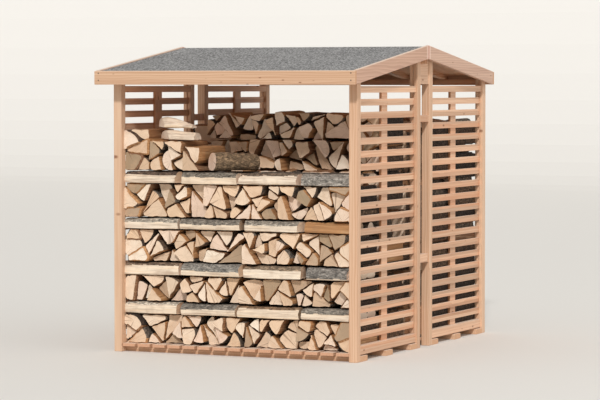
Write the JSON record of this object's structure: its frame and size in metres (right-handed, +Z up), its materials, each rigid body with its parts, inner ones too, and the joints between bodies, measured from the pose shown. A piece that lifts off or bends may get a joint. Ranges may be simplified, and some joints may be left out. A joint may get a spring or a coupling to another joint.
{
  "type": "log store",
  "caption": "Timber log store with an open front and back, lattice gables, a felted ridge roof and a stack of split firewood on its slatted floor.",
  "frame": {"origin": "centre of the plan on the ground, midway between the outer faces of the fascias and of the barge boards", "axes": "+Z up, +Y from the open front to the back along the gables, +X to the right along the front"},
  "size_m": [1.87, 2.45, 2.03],
  "materials": {
    "planed_timber": "planed softwood, satin",
    "sawn_timber": "sawn softwood, matt",
    "roofing_felt": "mineral surfaced felt, rough",
    "firewood": "split logs with bark, rough"
  },
  "bodies": {
    "root": {"firewood_binder_course_1": "firewood", "firewood_binder_course_2": "firewood", "firewood_binder_course_3": "firewood", "firewood_binder_course_4": "firewood", "firewood_front_course_1": "firewood", "firewood_front_course_2": "firewood", "firewood_front_course_3": "firewood", "firewood_front_course_4": "firewood", "firewood_front_pile": "firewood", "firewood_loose_logs": "firewood", "firewood_row_2": "firewood", "firewood_row_3": "firewood", "firewood_row_4": "firewood", "firewood_row_5": "firewood", "floor_bearers": "sawn_timber", "floor_boards": "sawn_timber", "front_barge_board_left": "planed_timber", "front_barge_board_right": "planed_timber", "front_corner_post_left": "planed_timber", "front_corner_post_right": "planed_timber", "front_eaves_beam": "planed_timber", "front_fascia": "planed_timber", "front_middle_post_left": "planed_timber", "front_middle_post_right": "planed_timber", "front_rafters": "planed_timber", "front_roof_boards": "sawn_timber", "front_roof_felt": "roofing_felt", "front_slat_panel_left": "planed_timber", "front_slat_panel_right": "planed_timber", "rear_barge_board_left": "planed_timber", "rear_barge_board_right": "planed_timber", "rear_corner_post_left": "planed_timber", "rear_corner_post_right": "planed_timber", "rear_eaves_beam": "planed_timber", "rear_fascia": "planed_timber", "rear_middle_post_left": "planed_timber", "rear_middle_post_right": "planed_timber", "rear_rafters": "planed_timber", "rear_roof_boards": "sawn_timber", "rear_roof_felt": "roofing_felt", "rear_slat_panel_left": "planed_timber", "rear_slat_panel_right": "planed_timber", "ridge_beam": "planed_timber", "tie_blocks_left": "planed_timber", "tie_blocks_right": "planed_timber"}
  },
  "joints": []
}
